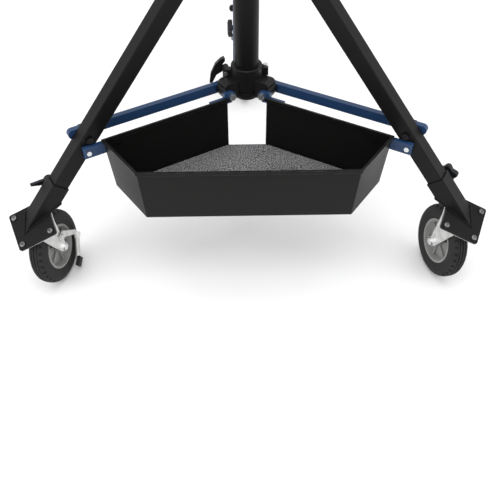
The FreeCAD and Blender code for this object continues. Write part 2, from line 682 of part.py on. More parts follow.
def make_caster(leg):
    """Zinc flange and race under the plate, and the fork that turns below them."""
    place = leg_frame(leg).multiply(caster_frame(leg))
    sheet_metal = block(f"flange_{leg}_box", ("-plate_wide/2 - 2", "plate_wide/2 + 2"),
                        ("-plate_wide/2 + 1", "plate_wide/2 - 1"),
                        ("-plate_thick - flange_thick", "-plate_thick"))
    flange = round_edges(f"flange_{leg}", sheet_metal, 6)
    flange.Placement = spin(-caster_angles(leg)[1])
    race = rod(f"race_{leg}", "race_dia/2", "z", (RACE_LOW, "-plate_thick - flange_thick/2"))
    kingpin = rod(f"kingpin_{leg}", "6", "z", (f"{CROWN_TOP} - fork_thick - 2.4", RACE_LOW))
    holes = []
    for i, (x, y) in enumerate(plate_corners("plate_wide")):
        hole = rod(f"flange_hole_{leg}_{i}", "bolt_dia/2 + 0.3", "z", ("-plate_thick - 20", "0"), x=x, y=y)
        holes.append(placed(f"flange_hole_at_{leg}_{i}", hole, flange.Placement))
    whole = cut(f"caster_top_{leg}_part", fuse(f"caster_top_{leg}_solid", [flange, race, kingpin]),
                group(f"flange_holes_{leg}", holes))
    node(f"caster_top_{leg}", whole, place)

    fork = new_body(f"fork_{leg}_body")
    wide = f"2*({CHEEK_IN} + fork_thick)"
    side = [("-race_dia/2 - 4", CROWN_TOP), ("race_dia/2 + 4", CROWN_TOP),
            ("race_dia/2 + 4", f"{CROWN_TOP} - 14"), ("trail + 15", "-fork_drop + 4"),
            ("trail + 9", "-fork_drop - 13"), ("trail - 9", "-fork_drop - 13"),
            ("trail - 15", "-fork_drop + 4"), ("-race_dia/2 - 4", f"{CROWN_TOP} - 16")]
    pad(fork, outline(fork, f"fork_side_{leg}", "XZ_Plane", side), wide)
    pocket(fork, outline(fork, f"fork_slot_{leg}", "YZ_Plane", [
        (f"-{CHEEK_IN}", "-fork_drop - 40"), (CHEEK_IN, "-fork_drop - 40"),
        (CHEEK_IN, f"{CROWN_TOP} - fork_thick"), (f"-{CHEEK_IN}", f"{CROWN_TOP} - fork_thick")]), "300")
    pocket(fork, ring(fork, f"fork_eye_{leg}", "XY_Plane", "6.4"), "2*fork_drop")
    pocket(fork, ring(fork, f"fork_axle_{leg}", "XZ_Plane", "axle_dia/2 + 0.3", x="trail", y="-fork_drop"),
           wide + " + 2")
    if leg == "left":
        pocket(fork, ring(fork, "fork_brake_hole", "XZ_Plane", "4.4", x="trail - 20", y="-fork_drop + 28"),
               wide + " + 2")
    node(f"fork_{leg}", fork, leg_frame(leg).multiply(fork_frame(leg)))


def make_wheel(leg):
    """Tyre, rim and axle; z runs along the axle."""
    place = leg_frame(leg).multiply(wheel_frame(leg))
    body = doc.addObject("Part::Torus", f"tyre_ring_{leg}")
    drive(body, Radius1="(wheel_dia - tyre_thick)/2", Radius2="tyre_thick/2")
    seat = rod(f"tyre_seat_{leg}", "rim_dia/2", "z", ("-tyre_thick", "tyre_thick"))
    node(f"tyre_{leg}", cut(f"tyre_{leg}_part", body, seat), place)

    hub = f"({CHEEK_IN} - 0.6)"
    rim = turned(f"rim_{leg}_body", [
        ("axle_dia/2 + 0.3", f"-{hub}"), ("15", f"-{hub}"), ("17", "-6"), ("rim_dia/2 - 13", "-4"),
        ("rim_dia/2 - 6", "-rim_wide/2"), ("rim_dia/2", "-rim_wide/2"), ("rim_dia/2", "rim_wide/2"),
        ("rim_dia/2 - 6", "rim_wide/2"), ("rim_dia/2 - 13", "4"), ("17", "6"), ("15", hub),
        ("axle_dia/2 + 0.3", hub)])
    ribs = []
    for i in range(3):
        rib = block(f"rib_{leg}_{i}", ("-rim_dia/2 + 8", "rim_dia/2 - 8"), ("-2.5", "2.5"), ("-11", "11"))
        ribs.append(placed(f"rib_at_{leg}_{i}", rib, spin(60 * i)))
    eye = rod(f"rim_eye_{leg}", "axle_dia/2 + 0.3", "z", ("-60", "60"))
    whole = cut(f"rim_{leg}_part", fuse(f"rim_{leg}_solid", [rim] + ribs), eye)
    node(f"rim_{leg}", whole, place)

    outer = f"({CHEEK_IN} + fork_thick)"
    shank = rod(f"axle_{leg}_shank", "axle_dia/2", "z", (f"-{outer} - 11", f"{outer} + 1"))
    head = hexagon(f"axle_{leg}_head", "10.5", "z", (outer, f"{outer} + 7"))
    nut = hexagon(f"axle_{leg}_nut", "10.5", "z", (f"-{outer} - 9", f"-{outer}"))
    node(f"axle_{leg}", fuse(f"axle_{leg}_solid", [shank, head, nut]), place)


def make_brake():
    """Foot brake on the left fork's inner cheek: sickle lever, release tab and pedal."""
    cheek = size(f"{CHEEK_IN} + fork_thick")
    mid = cheek + 0.6 + size("fork_thick") / 2
    hub = Placement(Vector(size("trail"), mid, -size("fork_drop")), Rotation())
    place = leg_frame("left").multiply(fork_frame("left")).multiply(hub)
    lever = new_body("brake_lever_body")
    sickle = [("-16", "40"), ("-34", "34"), ("-58", "-30"), ("-58", "-54"), ("-48", "-64"), ("4", "-90"),
              ("16", "-84"), ("16", "-72"), ("2", "-70"), ("-36", "-46"), ("-46", "-34"), ("-22", "16"),
              ("-8", "24")]
    pad(lever, outline(lever, "brake_sickle", "XZ_Plane", sickle), "fork_thick")
    pocket(lever, ring(lever, "brake_eye", "XZ_Plane", "4.4", x="-20", y="28"), "20")
    node("brake_lever", lever, place)
    tab = rod("brake_tab_disc", "10", "y", ("fork_thick/2", "fork_thick/2 + 7"), x="-47", z="-44")
    node("brake_tab", group("brake_tab_part", [tab]), place)
    pedal = round_edges("brake_pedal_round", block("brake_pedal_box", ("5", "33"),
                        ("fork_thick/2", "fork_thick/2 + 10"), ("-88", "-72")), 3)
    node("brake_pedal", group("brake_pedal_part", [pedal]), place)
    spot = {"x": "-20", "z": "28"}
    pin = rod("brake_pin_shank", "4", "y",
              ("-fork_thick/2 - 0.6 - fork_thick - 1.5", "fork_thick/2 + 3"), **spot)
    cap = rod("brake_pin_cap", "7", "y", ("fork_thick/2 + 0.4", "fork_thick/2 + 4"), **spot)
    node("brake_pin", fuse("brake_pin_solid", [pin, cap]), place)


# ---------------------------------------------------------------- tray
def meet(first, second):
    """Crossing of two plan lines, each (normal x, normal y, distance)."""
    (a, b, c), (d, e, f) = first, second
    det = a * e - b * d
    return ((c * e - b * f) / det, (a * f - c * d) / det)


def tray_plan(height, inset=0.0, side_inset=0.0, mouth=0.0):
    """Tray outline at a height; inset moves front and corner walls in, side_inset the walls by the arms."""
    gap, half, nose, front = (size(name) for name in ("tray_gap", "tray_half", "tray_nose", "tray_front"))
    lean = size("tray_flare") * (size("tray_rim") - height) / size("tray_deep")
    cos30, sin30 = math.cos(math.radians(30)), 0.5
    corner_y = -(gap + half * sin30) / cos30
    run = Vector(half - nose, corner_y + front, 0)
    run.normalize()
    normal = (run.y, -run.x)
    side = (-sin30, -cos30, gap + side_inset)
    corner = (*normal, normal[0] * half + normal[1] * corner_y - inset - lean)
    face = (0, -1, front - inset - lean)
    throat = (1, 0, size("tray_mouth") - mouth)
    right = [meet(throat, side), meet(side, corner), meet(corner, face)]
    outline_points = right + [(-x, y) for x, y in reversed(right)]
    return [Vector(x, y, height) for x, y in outline_points]


def tray_block(low, high, **insets):
    """Solid between the tray's outlines at two heights."""
    plans = [tray_plan(z, **insets) for z in (low, high)]
    return Part.makeLoft([Part.makePolygon(points + points[:1]) for points in plans], True, True)


def tray_reach():
    """Distance out along an arm of the tray's first and last rim corner."""
    corners = tray_plan(size("tray_rim"))[:2]
    return [point.x * math.cos(math.radians(30)) - point.y * 0.5 for point in corners]


def make_tray():
    """Folded sheet tray, open at its mast end; its hem stands outward in front and inward by the arms."""
    rim, sheet_thick, fold = (size(name) for name in ("tray_rim", "tray_sheet", "rim_fold"))
    floor = size("tray_rim - tray_deep")
    shell = tray_block(floor, rim)
    room = tray_block(floor + sheet_thick, rim + 1, inset=sheet_thick, side_inset=sheet_thick, mouth=30)
    shell = shell.cut(room)
    hem = tray_block(rim - fold, rim, inset=-4).cut(
        tray_block(rim - fold - 1, rim + 1, inset=1, side_inset=5, mouth=30))
    shape = shell.fuse(hem)
    for leg in ("left", "right"):
        for x, z in screw_places():
            shape = shape.cut(screw_hole(leg, x, z))
    thing = doc.addObject("Part::Feature", "tray_sheet_metal")
    thing.Shape = shape.removeSplitter()
    node("tray", thing)


def make_mat():
    """Speckled lining that lies on the tray floor."""
    floor = size("tray_rim - tray_deep + tray_sheet")
    inset = size("tray_sheet + mat_gap")
    thing = doc.addObject("Part::Feature", "mat")
    thing.Shape = tray_block(floor, floor + size("mat_thick"), inset=inset, side_inset=inset, mouth=-3)
    node("tray_mat", thing)


def screw_places():
    """(x, z) of the four screws through each side wall, two in each bracket."""
    first, last = tray_reach()
    low, high = size("tray_rim - 16"), size("arm_level - bracket_drop")
    lap = size("bracket_lap")
    return [(first + 12, low), (first + lap - 8, low), (last - 12, high), (last - lap + 8, high)]


def screw_hole(leg, x, z):
    hole = Part.makeCylinder(size("screw_dia/2 + 0.3"), size("bracket_thick + 8"),
                             Vector(x, LEGS[leg][1] * size("tray_gap - bracket_thick + 2"), z),
                             Vector(0, LEGS[leg][1], 0))
    hole.Placement = leg_frame(leg).multiply(hole.Placement)
    return hole


def bracket_bolt_on_leg():
    """The outer bracket's bolt in the leg line's frame."""
    back, down = size("bracket_back"), size("bracket_drop")
    sine, cosine = math.sin(LEAN), math.cos(LEAN)
    return str(back * cosine - down * sine), str(-back * sine - down * cosine)


def make_brackets():
    """Blue brackets: the inner pair share the lug bolts, the outer pair bolt to the legs' front faces."""
    first, last = tray_reach()
    for leg in ("left", "right"):
        front = LEGS[leg][1]
        near = f"{LEG_HALF} + arm_gap"
        far = f"{near} + bracket_thick"
        span = (near, far) if front > 0 else (f"-({far})", f"-({near})")
        x_last = f"{first} + bracket_lap"
        inner = fuse(f"bracket_inner_{leg}_solid", [
            block(f"bracket_inner_{leg}_web", ("lug_reach", f"{first} + 4"), span,
                  ("arm_level - bracket_tall + arm_tall/2", "arm_level + arm_tall/2")),
            block(f"bracket_inner_{leg}_lap", (f"{first} - 4", x_last), span,
                  ("tray_rim - 29", "tray_rim - 3")),
            rod(f"bracket_inner_{leg}_end", "arm_tall/2", "y", span, x="lug_reach", z="arm_level")])
        holes = [bore(f"bracket_inner_{leg}_bore", "pin_dia/2", "lug_reach", "arm_level")]
        holes += [bore(f"bracket_inner_{leg}_tap{i}", "screw_dia/2", str(x), str(z))
                  for i, (x, z) in enumerate(screw_places()[:2])]
        node(f"tray_bracket_inner_{leg}", cut(f"bracket_inner_{leg}", inner,
             group(f"bracket_inner_{leg}_holes", holes)), leg_frame(leg))

        x_bolt, z_bolt = "arm_reach + bracket_back", "arm_level - bracket_drop"
        outer = round_edges(f"bracket_outer_{leg}_solid", block(
            f"bracket_outer_{leg}_web", (f"{last} - bracket_lap", f"{x_bolt} + bolt_dia*1.5"), span,
            (f"{z_bolt} - bracket_tall/2", f"{z_bolt} + bracket_tall/2")), 3)
        holes = [bore(f"bracket_outer_{leg}_bore", "bolt_dia/2", x_bolt, z_bolt)]
        holes += [bore(f"bracket_outer_{leg}_tap{i}", "screw_dia/2", str(x), str(z))
                  for i, (x, z) in enumerate(screw_places()[2:])]
        node(f"tray_bracket_outer_{leg}", cut(f"bracket_outer_{leg}", outer,
             group(f"bracket_outer_{leg}_holes", holes)), leg_frame(leg))


def make_tray_fasteners():
    """Two bolts through the legs and eight screws through the tray's side walls."""
    bolts, screws = [], []
    for leg in ("left", "right"):
        front = LEGS[leg][1]
        seat = f"{front}*({LEG_HALF} + arm_gap + bracket_thick)"
        through = bolt(f"bracket_bolt_{leg}", "bolt_dia/2", seat, f"{-front}*({LEG_HALF})",
                       "arm_reach + bracket_back", "arm_level - bracket_drop")
        through.Placement = leg_frame(leg)
        bolts.append(through)
        for i, (x, z) in enumerate(screw_places()):
            wall = f"{front}*(tray_gap + tray_sheet)"
            tip = f"{front}*(tray_gap - bracket_thick + 3)"
            head = f"{front}*(tray_gap + tray_sheet + 1.5)"
            low, high = (tip, wall) if front > 0 else (wall, tip)
            cap = (wall, head) if front > 0 else (head, wall)
            screw = fuse(f"tray_screw_{leg}_{i}", [
                rod(f"tray_screw_{leg}_{i}_shank", "screw_dia/2", "y", (low, high), x=str(x), z=str(z)),
                rod(f"tray_screw_{leg}_{i}_head", "screw_dia*0.9", "y", cap, x=str(x), z=str(z))])
            screw.Placement = leg_frame(leg)
            screws.append(screw)
    node("bracket_bolts", group("bracket_bolt_set", bolts))
    node("tray_screws", group("tray_screw_set", screws))


# ---------------------------------------------------------------- build
make_mast()
make_receiver()
make_mast_clamp()
doc.recompute()
stud = "22 + 6 - 0.3"
side_turn = Rotation(Vector(0, 1, 0), 90)
riser_face = size("mast_dia/2 + 22 + 6")
star_knob("riser_knob", Placement(Vector(riser_face, 0, size("mast_top - 20")), side_turn), stud)
receiver_face = size("receiver_dia/2 + 10 + 6")
receiver_level = size("riser_top + receiver_tall - 34")
star_knob("receiver_knob", Placement(Vector(receiver_face, 0, receiver_level), side_turn),
          str(receiver_face - size("spigot_bore/2 + 1")))
make_crown()
make_crown_pins()
make_collar()
make_clamp()
make_arms()
make_pivot_bolts()
make_tray()
make_mat()
make_brackets()
make_tray_fasteners()
for leg in LEGS:
    make_leg(leg)
    make_foot(leg)
    make_plate_bolts(leg)
    make_foot_knob(leg)
    make_caster(leg)
    make_wheel(leg)
make_brake()
doc.recompute()

faults = [item.Label for item in doc.Objects if "Invalid" in item.State or "Error" in item.State]
faults += [name for name, thing in nodes.items() if thing.Shape.isNull() or not thing.Shape.isValid()]
if faults:
    raise RuntimeError("failed: " + ", ".join(sorted(set(faults))))
for name, thing in nodes.items():
    thing.Shape.exportStep(f"parts/{name}.step")
    print(f"{name}: {len(thing.Shape.Solids)} solid(s), {thing.Shape.Volume / 1000:.1f} cm3")
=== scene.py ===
# %% [markdown]
# # A wheeled stand with a sandbag tray
# A heavy studio stand: a mast on three square legs, blue spreader bars that hold the legs apart, and a folded
# steel tray between the two front legs, where sandbags lie as ballast. The engineering model arrives as a
# fixed frame of named nodes. This lesson gives every node a finish, and builds the pieces whose charm
# is in their soft shapes: tyres, knobs, lining, bolt heads and weld beads.

# %% Load the frame
import json
import math
import random

import bmesh
import bpy
from mathutils import Matrix, Vector


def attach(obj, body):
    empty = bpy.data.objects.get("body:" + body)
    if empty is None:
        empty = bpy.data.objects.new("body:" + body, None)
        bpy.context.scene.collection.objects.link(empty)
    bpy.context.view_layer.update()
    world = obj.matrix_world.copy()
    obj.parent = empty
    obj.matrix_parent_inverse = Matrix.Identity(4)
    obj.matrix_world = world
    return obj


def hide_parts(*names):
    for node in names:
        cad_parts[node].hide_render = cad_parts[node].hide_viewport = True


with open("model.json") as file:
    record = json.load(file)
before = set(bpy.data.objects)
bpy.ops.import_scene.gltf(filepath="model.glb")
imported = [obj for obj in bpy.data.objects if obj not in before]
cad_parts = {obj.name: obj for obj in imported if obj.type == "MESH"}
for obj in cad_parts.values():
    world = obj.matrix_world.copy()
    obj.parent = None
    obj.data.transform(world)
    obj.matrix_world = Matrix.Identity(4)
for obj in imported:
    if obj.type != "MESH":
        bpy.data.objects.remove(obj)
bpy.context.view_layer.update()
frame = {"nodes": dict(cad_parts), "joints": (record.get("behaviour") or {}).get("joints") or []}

nodes = frame["nodes"]
joints = {joint["name"]: joint for joint in frame["joints"]}

# %% [markdown]
# ## Camera
# The stand is seen from the front, from a little above head height, looking down at the tray, so the rim and
# the lined floor both show. A 45 mm lens on a 36 mm sensor gives that view. The camera is turned 1.2 degrees
# from straight ahead, because the stand is not quite square to it.

# %% Camera
eye = bpy.data.cameras.new("eye")
eye.lens = 45
eye.sensor_width = 36
eye.clip_end = 60
camera = bpy.data.objects.new("eye", eye)
camera.location = (-0.022, -1.487, 1.308)
camera.rotation_euler = (math.radians(90 - 46.1), 0, -0.021)
bpy.context.collection.objects.link(camera)
bpy.context.scene.camera = camera
print("camera at", tuple(camera.location))

# %% [markdown]
# ## Shader sums as plain Python
# A finish is a small network of nodes. Written node by node it is long and hard to read, so one class wraps a
# socket and lets `+ - * /` add the Math nodes, and one method makes any other node: its settings go in first,
# because some of them change which sockets exist, and then its values or links.

# %% A socket that does sums
class Wire:
    """A socket of a finish; arithmetic on it adds Math nodes."""

    def __init__(self, finish, socket):
        self.finish = finish
        self.socket = socket

    def maths(self, operation, first, second):
        return self.finish.node("ShaderNodeMath", {"operation": operation}, {0: first, 1: second})

    def __add__(self, other):
        return self.maths("ADD", self, other)

    def __sub__(self, other):
        return self.maths("SUBTRACT", self, other)

    def __rsub__(self, other):
        return self.maths("SUBTRACT", other, self)

    def __mul__(self, other):
        return self.maths("MULTIPLY", self, other)

    __radd__ = __add__
    __rmul__ = __mul__


# %% A finish and its one way to make nodes
class Finish:
    """One material, started empty."""

    def __init__(self, name):
        self.material = bpy.data.materials.new(name)
        self.material.use_nodes = True
        self.tree = self.material.node_tree
        self.tree.nodes.clear()

    def node(self, kind, settings, sockets, out=0):
        made = self.tree.nodes.new(kind)
        for key, value in settings.items():
            if key == "stops":
                for stop, (place, shade) in zip(made.color_ramp.elements, value):
                    stop.position = place
                    stop.color = (shade, shade, shade, 1)
            else:
                setattr(made, key, value)
        for key, value in sockets.items():
            if isinstance(value, Wire):
                self.tree.links.new(value.socket, made.inputs[key])
            else:
                made.inputs[key].default_value = value
        return Wire(self, made.outputs[out])

    def place(self, stretch=(1, 1, 1)):
        """Where a point is on the piece, in metres, stretched for streaks."""
        spot = self.node("ShaderNodeTexCoord", {}, {}, "Object")
        return self.node("ShaderNodeMapping", {}, {"Vector": spot, "Scale": stretch})

    def noise(self, scale, detail=3.0, stretch=(1, 1, 1)):
        sockets = {"Vector": self.place(stretch), "Scale": scale, "Detail": detail}
        return self.node("ShaderNodeTexNoise", {}, sockets)

    def cells(self, scale, out="Distance"):
        return self.node("ShaderNodeTexVoronoi", {}, {"Vector": self.place(), "Scale": scale}, out)

    def ramp(self, wire, low, high):
        """0 below low, 1 above high."""
        return self.node("ShaderNodeValToRGB", {"stops": ((low, 0), (high, 1))}, {"Fac": wire})

    def blend(self, mask, first, second):
        """Mix two colours."""
        colours = {"A": first, "B": second}
        made = self.node("ShaderNodeMix", {"data_type": "RGBA"}, {0: mask}, 2)
        for key, slot in (("A", 6), ("B", 7)):
            value = colours[key]
            if isinstance(value, Wire):
                self.tree.links.new(value.socket, made.socket.node.inputs[slot])
            else:
                made.socket.node.inputs[slot].default_value = (*value, 1)
        return made

    def relief(self, height, depth, edge=0.0008):
        """Bumps of a depth in metres, on corners rounded by edge."""
        soft = self.node("ShaderNodeBevel", {"samples": 4}, {"Radius": edge})
        return self.node("ShaderNodeBump", {}, {"Height": height, "Distance": depth, "Normal": soft})

    def corners(self, width=0.0015):
        """1 on outside corners, where paint rubs thin and where the black coats also get a painted edge
        highlight, and 0 on flat metal.
        """
        soft = self.node("ShaderNodeBevel", {"samples": 4}, {"Radius": width})
        flat = self.node("ShaderNodeNewGeometry", {}, {}, "Normal")
        same = self.node("ShaderNodeVectorMath", {"operation": "DOT_PRODUCT"}, {0: soft, 1: flat}, "Value")
        return self.ramp(1 - same, 0.02, 0.25)

    def close(self, colour, rough, metal=0.0, normal=None, **constants):
        """End in a Principled shader; constants go on its own sockets."""
        sockets = {"Base Color": colour if isinstance(colour, Wire) else (*colour, 1)}
        sockets.update({"Roughness": rough, "Metallic": metal})
        if normal is not None:
            sockets["Normal"] = normal
        sockets.update({key.replace("_", " "): value for key, value in constants.items()})
        shader = self.node("ShaderNodeBsdfPrincipled", {}, sockets)
        end = self.tree.nodes.new("ShaderNodeOutputMaterial")
        self.tree.links.new(shader.socket, end.inputs["Surface"])
        return self.material


print("finishes are ready to mix")

# %% [markdown]
# ## Black coats
# Tubes and tray wear black powder coat. Powder melts into a skin with a faint orange peel, a little dust
# dulls it in patches, and its corners get a paler line, partly coat rubbed thin and partly a painted edge
# highlight. The castings keep some grain of the sand mould under their coat, so theirs is rougher.

# %% Powder coat, casting and tray black
def powder_coat(name, colour, rough, peel, corner_wear_and_highlight_colour, shine, edge=0.0012):
    coat = Finish(name)
    patches = coat.noise(9, 4)
    skin = coat.noise(420, 2)
    # Paler corner line: partly coat rubbed thin, partly a painted edge highlight.
    rubbed_and_highlit_corners = coat.corners(edge) * coat.ramp(coat.noise(35, 5), 0.40, 0.80)
    tone = coat.blend(patches, colour, tuple(1.4 * part + 0.0005 for part in colour))
    tone = coat.blend(rubbed_and_highlit_corners * 0.6, tone, corner_wear_and_highlight_colour)
    gloss = patches * 0.16 + (rough - 0.08)
    return coat.close(tone, gloss, 0.0, coat.relief(skin, peel, edge), Specular_IOR_Level=shine)


# The fourth colour is each coat's corner line, part wear and part painted highlight; the tray's bright one
# and the castings' are mostly painted highlight.
tube_black = powder_coat("tube_black", (0.0040, 0.0036, 0.0036), 0.42, 0.00006, (0.040, 0.039, 0.040), 0.16)
cast_black = powder_coat("cast_black", (0.0046, 0.0044, 0.0044), 0.40, 0.00030, (0.110, 0.110, 0.112), 0.24)
tray_black = powder_coat("tray_black", (0.0034, 0.0034, 0.0032), 0.42, 0.00005, (0.30, 0.30, 0.31), 0.15,
                         edge=0.002)
print("black coats:", tube_black.name, cast_black.name, tray_black.name)

# %% [markdown]
# ## Blue bars
# The spreader bars and tray brackets are sprayed a deep blue: glossier than powder coat, with fine runs along
# the bar, and chipped to grey primer at the corners.

# %% Blue paint
def blue_paint():
    paint = Finish("blue_paint")
    runs = paint.noise(60, 4, (1, 1, 0.25))
    chips = paint.corners(0.001) * paint.ramp(paint.noise(120, 6), 0.52, 0.6)
    tone = paint.blend(paint.noise(14, 3), (0.010, 0.036, 0.098), (0.016, 0.050, 0.128))
    tone = paint.blend(chips, tone, (0.12, 0.14, 0.16))
    normal = paint.relief(runs, 0.00008)
    return paint.close(tone, runs * 0.12 + 0.28, 0.0, normal, Specular_IOR_Level=0.4)


bar_blue = blue_paint()
print("blue paint:", bar_blue.name)

# %% [markdown]
# ## Bare and plated metal
# Bolts are bright zinc with fine turning lines, dull dark steel, or oxide black among the black parts. The
# caster pressings are duller and show the cloudy patches of hot zinc, and the riser is chromed tube, nearly a
# mirror with faint lengthwise polishing marks.

# %% Zinc and chrome
def plated(name, bright, dull, rough, cloud, grain):
    metal = Finish(name)
    clouds = metal.noise(cloud, 5)
    lines = metal.noise(grain, 2, (1, 1, 0.08))
    tone = metal.blend(metal.ramp(clouds, 0.35, 0.65), dull, bright)
    gloss = clouds * 0.14 + lines * 0.08 + (rough - 0.11)
    return metal.close(tone, gloss, 1.0, metal.relief(lines, 0.00002, 0.0006))


bolt_zinc = plated("bolt_zinc", (0.78, 0.79, 0.80), (0.60, 0.61, 0.62), 0.26, 90, 900)
pressing_zinc = plated("pressing_zinc", (0.80, 0.80, 0.79), (0.60, 0.60, 0.59), 0.34, 55, 500)
steel_dark = plated("steel_dark", (0.20, 0.20, 0.205), (0.12, 0.12, 0.125), 0.38, 90, 900)
oxide_black = plated("oxide_black", (0.030, 0.030, 0.032), (0.018, 0.018, 0.019), 0.42, 90, 900)
riser_chrome = plated("riser_chrome", (0.86, 0.86, 0.87), (0.80, 0.80, 0.81), 0.15, 12, 700)
print("metals:", bolt_zinc.name, steel_dark.name, oxide_black.name, pressing_zinc.name, riser_chrome.name)

# %% [markdown]
# ## Rubber, plastic and lining
# Tyre rubber is a dry near-black that greys with dust. The hubs are grey moulded plastic, with darker patches
# of road dust. The lining is a mat pressed from rubber crumb: dark grains with pale ones among them.

# %% Rubber and plastics
def moulded(name, colour, dusty, rough, texture, depth):
    skin = Finish(name)
    dust = skin.ramp(skin.noise(22, 5), 0.42, 0.78)
    grain = skin.noise(texture, 3)
    tone = skin.blend(dust * 0.6, colour, dusty)
    bumps = skin.relief(grain, depth, 0.0006)
    return skin.close(tone, dust * 0.15 + rough, 0.0, bumps, Specular_IOR_Level=0.3)


tyre_rubber = moulded("tyre_rubber", (0.009, 0.009, 0.0095), (0.034, 0.033, 0.032), 0.66, 520, 0.00012)
hub_grey = moulded("hub_grey", (0.24, 0.24, 0.235), (0.13, 0.125, 0.12), 0.46, 380, 0.0002)
knob_black = moulded("knob_black", (0.0070, 0.0080, 0.0115), (0.017, 0.018, 0.022), 0.42, 700, 0.00005)
pedal_rubber = moulded("pedal_rubber", (0.014, 0.014, 0.014), (0.040, 0.039, 0.038), 0.66, 600, 0.0001)
tab_white = moulded("tab_white", (0.80, 0.80, 0.78), (0.62, 0.60, 0.56), 0.38, 500, 0.00003)
print("moulded finishes made")


# %% Speckled lining
def crumb_lining():
    mat = Finish("crumb_lining")
    grains = mat.cells(330)
    shade = mat.cells(330, "Color")
    pale = mat.ramp(mat.noise(400, 2), 0.50, 0.56)
    blotch = mat.noise(16, 3)
    tone = mat.blend(shade, (0.010, 0.010, 0.011), (0.066, 0.067, 0.069))
    tone = mat.blend(pale * (blotch * 0.6 + 0.6), tone, (0.46, 0.46, 0.465))
    return mat.close(tone, 0.86 - pale * 0.18, 0.0, mat.relief(pale * 0.6 - grains, 0.0006, 0.0004))


lining = crumb_lining()
print("lining:", lining.name)

# %% [markdown]
# ## Each node gets its finish
# A node from the engineering model keeps its own shape, so it only needs its finish. The table goes by the
# start of a node's name, and the longest match wins.

# %% Finishes onto nodes
COATS = {
    "mast_tube": tube_black, "riser_tube": riser_chrome, "receiver": cast_black, "mast_clamp": cast_black,
    "crown": cast_black, "crown_pins": oxide_black, "collar": cast_black, "clamp_lever": cast_black,
    "clamp_pin": bolt_zinc, "clamp_screw": bolt_zinc, "arm": bar_blue, "rear_arm": bar_blue,
    "lug_bolts": bolt_zinc, "leg_bolts": oxide_black, "tray": tray_black, "tray_mat": lining,
    "tray_bracket": bar_blue, "bracket_bolts": bolt_zinc, "tray_screws": oxide_black, "leg": tube_black,
    "foot": tube_black, "plate_bolts": steel_dark, "foot_lever": knob_black, "foot_knob": knob_black,
    "riser_knob": knob_black, "receiver_knob": knob_black, "caster_top": pressing_zinc, "fork": pressing_zinc,
    "tyre": tyre_rubber, "rim": hub_grey, "axle": bolt_zinc, "brake_lever": pressing_zinc,
    "brake_tab": tab_white, "brake_pedal": pedal_rubber, "brake_pin": bolt_zinc,
}


def wear(thing, material):
    thing.data.materials.clear()
    thing.data.materials.append(material)


for name, thing in nodes.items():
    word = max((word for word in COATS if name.startswith(word)), key=len)
    wear(thing, COATS[word])
print("coated", len(nodes), "nodes")

# %% [markdown]
# ## A workbench for new pieces
# Each new piece starts as an empty bmesh and ends as an object at the origin with its place in its mesh. A
# helper closes it: doubled points are merged, the faces are turned outwards, and the piece is told which body
# it rides on and which plain node it stands for.

# %% Finish a piece
def make_piece(name, bm, material, body, replaces=(), smooth=40):
    bmesh.ops.remove_doubles(bm, verts=bm.verts, dist=1e-6)
    bmesh.ops.recalc_face_normals(bm, faces=bm.faces)
    mesh = bpy.data.meshes.new(name)
    bm.to_mesh(mesh)
    bm.free()
    mesh.polygons.foreach_set("use_smooth", [True] * len(mesh.polygons))
    mesh.set_sharp_from_angle(angle=math.radians(smooth))
    thing = bpy.data.objects.new(name, mesh)
    bpy.context.collection.objects.link(thing)
    wear(thing, material)
    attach(thing, body)
    for node in replaces:
        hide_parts(node)
    print(f"{name}: {len(mesh.polygons)} faces on {body}")
    return thing


def facing(centre, axis, across=(0, 0, 1)):
    """Frame at centre whose z runs along axis and whose x is as near across as it can be."""
    z = Vector(axis).normalized()
    x = (Vector(across) - z * z.dot(Vector(across))).normalized()
    turn = Matrix((x, z.cross(x), z)).transposed().to_4x4()
    return Matrix.Translation(Vector(centre)) @ turn


BEVEL = {"affect": "EDGES", "profile": 0.5, "material": -1}

# %% [markdown]
# ## Tyres
# A solid rubber tyre is a ring, so its section is drawn once and spun about the axle. The section has a tread
# with three grooves, rounded shoulders, a rib where the sidewall is moulded, and a bead against the rim.
# Then every third shoulder block is pushed in a little, which leaves the lugs along both edges.

# %% Draw and spin the section
SECTION = [  # one half, tread to bead: (distance from the axle, distance along it) in millimetres
    (97.4, 0), (97.4, 1.4), (99.9, 2.1), (99.7, 6.2), (97.2, 6.9), (97.0, 8.3), (99.0, 9.0), (98.0, 12.2),
    (95.6, 15.6), (92.0, 18.4), (87.0, 20.2), (81.5, 20.9), (80.2, 20.3), (78.4, 20.3), (77.2, 20.9),
    (72.0, 20.3), (67.5, 19.0), (65.6, 18.9), (62.6, 18.4), (61.1, 17.0)]


SLICES = 96  # round the tyre; every third one is notched


def tyre(leg):
    joint = joints[leg + "_wheel_spin"]
    bm = bmesh.new()
    outline = SECTION + [(r, -z) for r, z in reversed(SECTION[1:])]
    ring = [bm.verts.new((r / 1000, 0, z / 1000)) for r, z in outline]
    edges = [bm.edges.new((ring[i - 1], ring[i])) for i in range(len(ring))]
    bmesh.ops.spin(bm, geom=ring + edges, cent=(0, 0, 0), axis=(0, 0, 1), angle=math.tau, steps=SLICES,
                   use_merge=True)
    bmesh.ops.recalc_face_normals(bm, faces=bm.faces)
    blocks = []
    for face in bm.faces:
        middle = face.calc_center_median()
        slice_number = int((math.atan2(middle.y, middle.x) % math.tau) / math.tau * SLICES)
        if slice_number % 3 == 0 and middle.xy.length > 0.0935 and abs(middle.z) > 0.0125:
            blocks.append(face)
    bmesh.ops.inset_individual(bm, faces=blocks, thickness=0.0006, depth=-0.002)
    bm.transform(facing(joint["pos_m"], joint["axis"]))
    print(len(blocks), "shoulder notches")
    return make_piece("tread_" + leg, bm, tyre_rubber, leg + "_wheel", ["tyre_" + leg], 32)


for leg in ("left", "right", "rear"):
    tyre(leg)


# %% [markdown]
# ## Star knobs
# A star knob is moulded plastic with five finger lobes. Its outline is a circle pushed in and out five times
# round; extruded, crowned and bevelled it becomes the knob, and a short steel stud goes into the boss.

